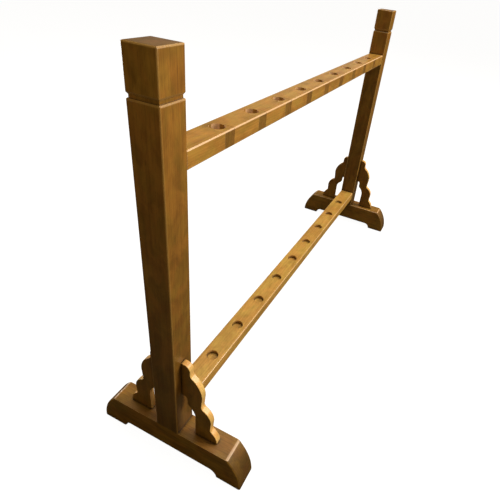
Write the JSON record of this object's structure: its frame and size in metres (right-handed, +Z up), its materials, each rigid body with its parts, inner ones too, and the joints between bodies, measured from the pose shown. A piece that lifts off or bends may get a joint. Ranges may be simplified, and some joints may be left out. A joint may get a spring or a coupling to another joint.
{
  "type": "standing pole rack",
  "caption": "Free-standing wooden rack for long poles: square posts on arched feet with scalloped brackets, a holed upper rail with lift-out keepers and a socketed lower rail.",
  "frame": {"origin": "on the floor at the centre of the footprint, midway between the two posts", "axes": "+X along the rails, towards the right post; -Y is the front, which the keepers face, and the feet run along Y; +Z is up"},
  "size_m": [1.533, 0.436, 1],
  "materials": {
    "post_wood": "honey-brown stained hardwood, satin lacquer",
    "foot_wood": "honey-brown stained hardwood, satin lacquer",
    "bracket_wood": "honey-brown stained hardwood, satin lacquer",
    "rail_wood": "honey-brown stained hardwood, satin lacquer",
    "keeper_wood": "stained end grain, darker than the rail, satin lacquer",
    "dowel_wood": "plain unfinished hardwood dowel",
    "zinc_steel": "bright zinc-plated steel"
  },
  "bodies": {
    "rack": {"left_post": "post_wood", "right_post": "post_wood", "left_foot": "foot_wood", "right_foot": "foot_wood", "left_front_bracket": "bracket_wood", "left_rear_bracket": "bracket_wood", "right_front_bracket": "bracket_wood", "right_rear_bracket": "bracket_wood", "upper_rail": "rail_wood", "lower_rail": "rail_wood", "socket_strip": "rail_wood", "bracket_dowels": "dowel_wood", "lag_screws": "zinc_steel", "screw_washers": "zinc_steel"},
    "keeper_1": {"keeper_1": "keeper_wood"},
    "keeper_2": {"keeper_2": "keeper_wood"},
    "keeper_3": {"keeper_3": "keeper_wood"},
    "keeper_4": {"keeper_4": "keeper_wood"},
    "keeper_5": {"keeper_5": "keeper_wood"},
    "keeper_6": {"keeper_6": "keeper_wood"},
    "keeper_7": {"keeper_7": "keeper_wood"},
    "keeper_8": {"keeper_8": "keeper_wood"},
    "keeper_9": {"keeper_9": "keeper_wood"}
  },
  "joints": [
    {"name": "keeper_1_lift", "type": "slide", "parent": "rack", "child": "keeper_1", "axis": [0, 0, 1], "range_m": [0, 0.05]},
    {"name": "keeper_2_lift", "type": "slide", "parent": "rack", "child": "keeper_2", "axis": [0, 0, 1], "range_m": [0, 0.05]},
    {"name": "keeper_3_lift", "type": "slide", "parent": "rack", "child": "keeper_3", "axis": [0, 0, 1], "range_m": [0, 0.05]},
    {"name": "keeper_4_lift", "type": "slide", "parent": "rack", "child": "keeper_4", "axis": [0, 0, 1], "range_m": [0, 0.05]},
    {"name": "keeper_5_lift", "type": "slide", "parent": "rack", "child": "keeper_5", "axis": [0, 0, 1], "range_m": [0, 0.05]},
    {"name": "keeper_6_lift", "type": "slide", "parent": "rack", "child": "keeper_6", "axis": [0, 0, 1], "range_m": [0, 0.05]},
    {"name": "keeper_7_lift", "type": "slide", "parent": "rack", "child": "keeper_7", "axis": [0, 0, 1], "range_m": [0, 0.05]},
    {"name": "keeper_8_lift", "type": "slide", "parent": "rack", "child": "keeper_8", "axis": [0, 0, 1], "range_m": [0, 0.05]},
    {"name": "keeper_9_lift", "type": "slide", "parent": "rack", "child": "keeper_9", "axis": [0, 0, 1], "range_m": [0, 0.05]}
  ]
}
